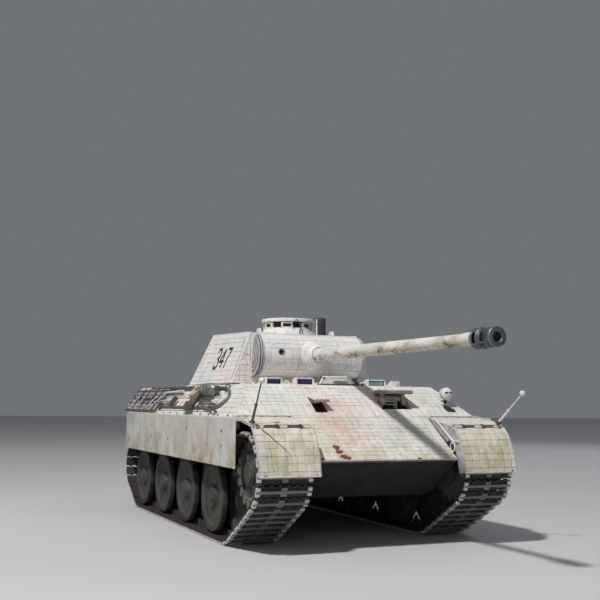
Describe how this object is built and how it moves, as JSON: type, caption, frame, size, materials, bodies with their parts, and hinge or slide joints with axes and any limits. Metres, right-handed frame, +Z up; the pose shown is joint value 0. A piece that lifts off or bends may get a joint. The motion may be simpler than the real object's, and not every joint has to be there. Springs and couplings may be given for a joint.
{
  "type": "radio controlled tank",
  "caption": "Radio-controlled scale tank in winter whitewash, with a turning turret, elevating long gun, hinged hatches, side skirts and interleaved road wheels.",
  "frame": {"origin": "centre of the model's bounding box in plan, on the ground under the tracks", "axes": "+X to the tank's left, +Y to its rear (the gun points along -Y), +Z up"},
  "size_m": [0.2139, 0.5414, 0.1846],
  "materials": {
    "whitewash_plastic": "whitewashed over a ridged paste coat, matte, chipped",
    "stained_whitewash": "whitewash with yellow-olive stains, matte",
    "skirt_sheet": "worn grey-white paint with rust stains",
    "dark_hull": "dark grime, matte",
    "track_metal": "worn dark metal with bright pads",
    "running_gear_paint": "muddy off-white, matte",
    "dark_steel": "dark worn steel",
    "rusty_steel": "rusted steel",
    "trim_paint": "off-white paint",
    "black_plastic": "moulded black plastic",
    "battery_wrap": "blue shrink wrap",
    "circuit_board": "green board with components",
    "brass_gear": "machined brass"
  },
  "bodies": {
    "hull": {"lower_hull_tub": "dark_hull", "upper_hull_shell": "whitewash_plastic", "engine_deck": "whitewash_plastic", "headlight": "trim_paint", "exhaust_pipes": "rusty_steel", "tow_cable_right": "dark_steel", "tool_rack_right": "dark_steel", "battery_pack": "battery_wrap", "receiver_board": "circuit_board", "turret_motor": "dark_steel", "side_skirt_right": "skirt_sheet", "width_rod_right": "trim_paint", "stowage_bin_right": "whitewash_plastic", "drive_gearbox_right": "black_plastic", "suspension_right": "dark_steel", "track_right": "track_metal", "side_skirt_left": "skirt_sheet", "width_rod_left": "trim_paint", "stowage_bin_left": "whitewash_plastic", "drive_gearbox_left": "black_plastic", "suspension_left": "dark_steel", "track_left": "track_metal"},
    "turret": {"turret_shell": "whitewash_plastic", "turret_ring_gear": "black_plastic", "cupola": "whitewash_plastic"},
    "gun_cradle": {"mantlet": "whitewash_plastic", "recoil_unit": "black_plastic"},
    "gun": {"gun_barrel": "stained_whitewash", "muzzle_brake": "dark_steel"},
    "cupola_lid": {"cupola_lid": "whitewash_plastic"},
    "turret_rear_hatch": {"turret_rear_hatch": "whitewash_plastic"},
    "turret_pinion": {"turret_pinion": "brass_gear"},
    "driver_hatch": {"driver_hatch": "whitewash_plastic"},
    "radio_operator_hatch": {"radio_operator_hatch": "whitewash_plastic"},
    "driver_visor_flap": {"driver_visor_flap": "whitewash_plastic"},
    "bow_port_flap": {"bow_port_flap": "whitewash_plastic"},
    "gun_travel_lock": {"gun_travel_lock": "whitewash_plastic"},
    "power_switch": {"power_switch": "black_plastic"},
    "fender_flap_right": {"fender_flap_right": "stained_whitewash"},
    "sprocket_right": {"sprocket_right": "running_gear_paint"},
    "idler_right": {"idler_right": "running_gear_paint"},
    "fender_flap_left": {"fender_flap_left": "stained_whitewash"},
    "sprocket_left": {"sprocket_left": "running_gear_paint"},
    "idler_left": {"idler_left": "running_gear_paint"},
    "road_wheel_right_1": {"road_wheel_right_1": "running_gear_paint"},
    "road_wheel_right_2": {"road_wheel_right_2": "running_gear_paint"},
    "road_wheel_right_3": {"road_wheel_right_3": "running_gear_paint"},
    "road_wheel_right_4": {"road_wheel_right_4": "running_gear_paint"},
    "road_wheel_right_5": {"road_wheel_right_5": "running_gear_paint"},
    "road_wheel_right_6": {"road_wheel_right_6": "running_gear_paint"},
    "road_wheel_right_7": {"road_wheel_right_7": "running_gear_paint"},
    "road_wheel_right_8": {"road_wheel_right_8": "running_gear_paint"},
    "road_wheel_left_1": {"road_wheel_left_1": "running_gear_paint"},
    "road_wheel_left_2": {"road_wheel_left_2": "running_gear_paint"},
    "road_wheel_left_3": {"road_wheel_left_3": "running_gear_paint"},
    "road_wheel_left_4": {"road_wheel_left_4": "running_gear_paint"},
    "road_wheel_left_5": {"road_wheel_left_5": "running_gear_paint"},
    "road_wheel_left_6": {"road_wheel_left_6": "running_gear_paint"},
    "road_wheel_left_7": {"road_wheel_left_7": "running_gear_paint"},
    "road_wheel_left_8": {"road_wheel_left_8": "running_gear_paint"}
  },
  "joints": [
    {"name": "turret_yaw", "type": "hinge", "parent": "hull", "child": "turret", "pos_m": [0, 0.067, 0.1186], "axis": [0, 0, 1], "continuous": true},
    {"name": "turret_pinion_spin", "type": "hinge", "parent": "hull", "child": "turret_pinion", "pos_m": [0, 0.0143, 0.108], "axis": [0, 0, 1], "continuous": true},
    {"name": "gun_elevation", "type": "hinge", "parent": "turret", "child": "gun_cradle", "pos_m": [0, 0.0083, 0.1424], "axis": [-1, 0, 0], "range_deg": [-8, 18]},
    {"name": "gun_recoil", "type": "slide", "parent": "gun_cradle", "child": "gun", "axis": [0, 1, 0], "range_m": [0, 0.009], "stiffness_N_per_m": 200},
    {"name": "cupola_lid_swing", "type": "hinge", "parent": "turret", "child": "cupola_lid", "pos_m": [0.0338, 0.1181, 0.183], "axis": [0, 0, 1], "range_deg": [0, 150]},
    {"name": "turret_rear_hatch_hinge", "type": "hinge", "parent": "turret", "child": "turret_rear_hatch", "pos_m": [0.0156, 0.1329, 0.1425], "axis": [0, 0.3449, -0.9387], "range_deg": [0, 110]},
    {"name": "driver_hatch_hinge", "type": "hinge", "parent": "hull", "child": "driver_hatch", "pos_m": [0.06, -0.033, 0.1176], "axis": [0, 1, 0], "range_deg": [0, 100]},
    {"name": "radio_operator_hatch_hinge", "type": "hinge", "parent": "hull", "child": "radio_operator_hatch", "pos_m": [-0.06, -0.033, 0.1176], "axis": [0, -1, 0], "range_deg": [0, 100]},
    {"name": "driver_visor_hinge", "type": "hinge", "parent": "hull", "child": "driver_visor_flap", "pos_m": [0.03475, -0.0746, 0.1106], "axis": [1, 0, 0], "range_deg": [0, 35]},
    {"name": "bow_port_hinge", "type": "hinge", "parent": "hull", "child": "bow_port_flap", "pos_m": [-0.0315, -0.0784, 0.10813], "axis": [1, 0, 0], "range_deg": [-40, 21]},
    {"name": "gun_travel_lock_hinge", "type": "hinge", "parent": "hull", "child": "gun_travel_lock", "pos_m": [0, -0.06, 0.1174], "axis": [-1, 0, 0], "range_deg": [0, 80]},
    {"name": "fender_flap_right_hinge", "type": "hinge", "parent": "hull", "child": "fender_flap_right", "pos_m": [-0.08, -0.1334, 0.0858], "axis": [-1, 0, 0], "range_deg": [0, 70]},
    {"name": "fender_flap_left_hinge", "type": "hinge", "parent": "hull", "child": "fender_flap_left", "pos_m": [0.08, -0.1334, 0.0858], "axis": [-1, 0, 0], "range_deg": [0, 70]},
    {"name": "power_switch_slide", "type": "slide", "parent": "hull", "child": "power_switch", "axis": [0, 1, 0], "range_m": [0, 0.006]},
    {"name": "sprocket_right_spin", "type": "hinge", "parent": "hull", "child": "sprocket_right", "pos_m": [-0.0815, -0.1165, 0.054], "axis": [1, 0, 0], "continuous": true},
    {"name": "idler_right_spin", "type": "hinge", "parent": "hull", "child": "idler_right", "pos_m": [-0.0815, 0.206, 0.04], "axis": [1, 0, 0], "continuous": true},
    {"name": "sprocket_left_spin", "type": "hinge", "parent": "hull", "child": "sprocket_left", "pos_m": [0.0815, -0.1165, 0.054], "axis": [1, 0, 0], "continuous": true},
    {"name": "idler_left_spin", "type": "hinge", "parent": "hull", "child": "idler_left", "pos_m": [0.0815, 0.206, 0.04], "axis": [1, 0, 0], "continuous": true},
    {"name": "road_wheel_right_1_spin", "type": "hinge", "parent": "hull", "child": "road_wheel_right_1", "pos_m": [-0.0815, -0.072, 0.0309], "axis": [1, 0, 0], "continuous": true},
    {"name": "road_wheel_right_2_spin", "type": "hinge", "parent": "hull", "child": "road_wheel_right_2", "pos_m": [-0.0815, -0.037, 0.0309], "axis": [1, 0, 0], "continuous": true},
    {"name": "road_wheel_right_3_spin", "type": "hinge", "parent": "hull", "child": "road_wheel_right_3", "pos_m": [-0.0815, -0.002, 0.0309], "axis": [1, 0, 0], "continuous": true},
    {"name": "road_wheel_right_4_spin", "type": "hinge", "parent": "hull", "child": "road_wheel_right_4", "pos_m": [-0.0815, 0.033, 0.0309], "axis": [1, 0, 0], "continuous": true},
    {"name": "road_wheel_right_5_spin", "type": "hinge", "parent": "hull", "child": "road_wheel_right_5", "pos_m": [-0.0815, 0.068, 0.0309], "axis": [1, 0, 0], "continuous": true},
    {"name": "road_wheel_right_6_spin", "type": "hinge", "parent": "hull", "child": "road_wheel_right_6", "pos_m": [-0.0815, 0.103, 0.0309], "axis": [1, 0, 0], "continuous": true},
    {"name": "road_wheel_right_7_spin", "type": "hinge", "parent": "hull", "child": "road_wheel_right_7", "pos_m": [-0.0815, 0.138, 0.0309], "axis": [1, 0, 0], "continuous": true},
    {"name": "road_wheel_right_8_spin", "type": "hinge", "parent": "hull", "child": "road_wheel_right_8", "pos_m": [-0.0815, 0.173, 0.0309], "axis": [1, 0, 0], "continuous": true},
    {"name": "road_wheel_left_1_spin", "type": "hinge", "parent": "hull", "child": "road_wheel_left_1", "pos_m": [0.0815, -0.072, 0.0309], "axis": [1, 0, 0], "continuous": true},
    {"name": "road_wheel_left_2_spin", "type": "hinge", "parent": "hull", "child": "road_wheel_left_2", "pos_m": [0.0815, -0.037, 0.0309], "axis": [1, 0, 0], "continuous": true},
    {"name": "road_wheel_left_3_spin", "type": "hinge", "parent": "hull", "child": "road_wheel_left_3", "pos_m": [0.0815, -0.002, 0.0309], "axis": [1, 0, 0], "continuous": true},
    {"name": "road_wheel_left_4_spin", "type": "hinge", "parent": "hull", "child": "road_wheel_left_4", "pos_m": [0.0815, 0.033, 0.0309], "axis": [1, 0, 0], "continuous": true},
    {"name": "road_wheel_left_5_spin", "type": "hinge", "parent": "hull", "child": "road_wheel_left_5", "pos_m": [0.0815, 0.068, 0.0309], "axis": [1, 0, 0], "continuous": true},
    {"name": "road_wheel_left_6_spin", "type": "hinge", "parent": "hull", "child": "road_wheel_left_6", "pos_m": [0.0815, 0.103, 0.0309], "axis": [1, 0, 0], "continuous": true},
    {"name": "road_wheel_left_7_spin", "type": "hinge", "parent": "hull", "child": "road_wheel_left_7", "pos_m": [0.0815, 0.138, 0.0309], "axis": [1, 0, 0], "continuous": true},
    {"name": "road_wheel_left_8_spin", "type": "hinge", "parent": "hull", "child": "road_wheel_left_8", "pos_m": [0.0815, 0.173, 0.0309], "axis": [1, 0, 0], "continuous": true}
  ],
  "couplings": [
    {"joint": "turret_pinion_spin", "follows": "turret_yaw", "ratio": -6},
    {"joint": "idler_right_spin", "follows": "sprocket_right_spin", "ratio": 1.3696},
    {"joint": "idler_left_spin", "follows": "sprocket_left_spin", "ratio": 1.3696},
    {"joint": "road_wheel_right_1_spin", "follows": "sprocket_right_spin", "ratio": 0.9509},
    {"joint": "road_wheel_right_2_spin", "follows": "sprocket_right_spin", "ratio": 0.9509},
    {"joint": "road_wheel_right_3_spin", "follows": "sprocket_right_spin", "ratio": 0.9509},
    {"joint": "road_wheel_right_4_spin", "follows": "sprocket_right_spin", "ratio": 0.9509},
    {"joint": "road_wheel_right_5_spin", "follows": "sprocket_right_spin", "ratio": 0.9509},
    {"joint": "road_wheel_right_6_spin", "follows": "sprocket_right_spin", "ratio": 0.9509},
    {"joint": "road_wheel_right_7_spin", "follows": "sprocket_right_spin", "ratio": 0.9509},
    {"joint": "road_wheel_right_8_spin", "follows": "sprocket_right_spin", "ratio": 0.9509},
    {"joint": "road_wheel_left_1_spin", "follows": "sprocket_left_spin", "ratio": 0.9509},
    {"joint": "road_wheel_left_2_spin", "follows": "sprocket_left_spin", "ratio": 0.9509},
    {"joint": "road_wheel_left_3_spin", "follows": "sprocket_left_spin", "ratio": 0.9509},
    {"joint": "road_wheel_left_4_spin", "follows": "sprocket_left_spin", "ratio": 0.9509},
    {"joint": "road_wheel_left_5_spin", "follows": "sprocket_left_spin", "ratio": 0.9509},
    {"joint": "road_wheel_left_6_spin", "follows": "sprocket_left_spin", "ratio": 0.9509},
    {"joint": "road_wheel_left_7_spin", "follows": "sprocket_left_spin", "ratio": 0.9509},
    {"joint": "road_wheel_left_8_spin", "follows": "sprocket_left_spin", "ratio": 0.9509}
  ]
}
